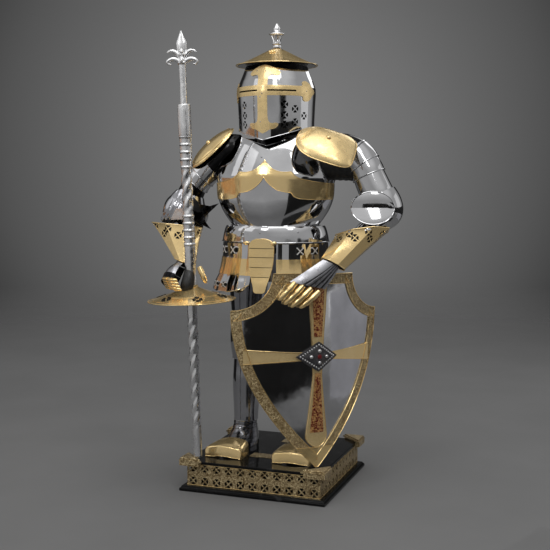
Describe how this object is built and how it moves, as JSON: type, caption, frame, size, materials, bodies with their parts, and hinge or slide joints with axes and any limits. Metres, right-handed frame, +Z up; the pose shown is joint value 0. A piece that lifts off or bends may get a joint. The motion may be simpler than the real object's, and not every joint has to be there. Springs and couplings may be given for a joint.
{
  "type": "suit of plate armour on a display plinth",
  "caption": "Hollow suit of polished steel and gilt plate armour standing on a square plinth, hands resting on a lance and a shield.",
  "frame": {"origin": "centre of the plinth's underside", "axes": "+Z up; the plinth's front and the suit face -Y; the wearer's left is +X"},
  "size_m": [1.0794, 0.7949, 2],
  "materials": {
    "steel": "mirror polished",
    "gilt": "polished gilt",
    "etched_gilt": "finely etched gilt",
    "silvered_steel": "polished silvered steel",
    "black_lacquer": "gloss black lacquer",
    "dark_boss": "blackened and polished"
  },
  "bodies": {
    "root": {"plinth_carcass": "black_lacquer", "plinth_band": "etched_gilt", "plinth_board": "black_lacquer", "corner_front_r": "etched_gilt", "corner_front_l": "etched_gilt", "corner_back_r": "etched_gilt", "corner_back_l": "etched_gilt", "toe_cap_r": "gilt", "toe_cap_l": "gilt", "sabaton_r": "steel", "sabaton_l": "steel", "greave_r": "steel", "greave_l": "steel", "poleyn_r": "steel", "poleyn_l": "steel", "cuisse_r": "steel", "cuisse_l": "steel", "breastplate": "steel", "chest_band": "gilt", "backplate": "steel", "gorget": "steel", "waist_lame": "steel", "tongue": "gilt", "tasset_r": "steel", "tasset_l": "steel", "tasset_band_r": "gilt", "tasset_band_l": "gilt", "culet": "steel", "culet_band": "gilt", "pauldron_r": "gilt", "pauldron_l": "gilt", "shoulder_r": "steel", "shoulder_l": "steel", "arm_lame_1_r": "steel", "arm_lame_1_l": "steel", "arm_lame_2_r": "steel", "arm_lame_2_l": "steel", "rerebrace_r": "steel", "rerebrace_l": "steel", "couter_r": "steel", "couter_l": "steel", "cuff_r": "gilt", "cuff_l": "gilt", "gauntlet_r": "steel", "gauntlet_l": "steel", "fingers_r": "gilt", "fingers_l": "gilt", "thumb_r": "gilt", "thumb_l": "gilt", "helm": "steel", "helm_cross": "gilt", "hat": "gilt", "hat_lining": "black_lacquer", "finial": "silvered_steel", "lance": "silvered_steel", "lance_head": "silvered_steel", "vamplate": "gilt", "shield": "steel", "shield_border": "etched_gilt", "shield_boss": "dark_boss"}
  },
  "joints": []
}
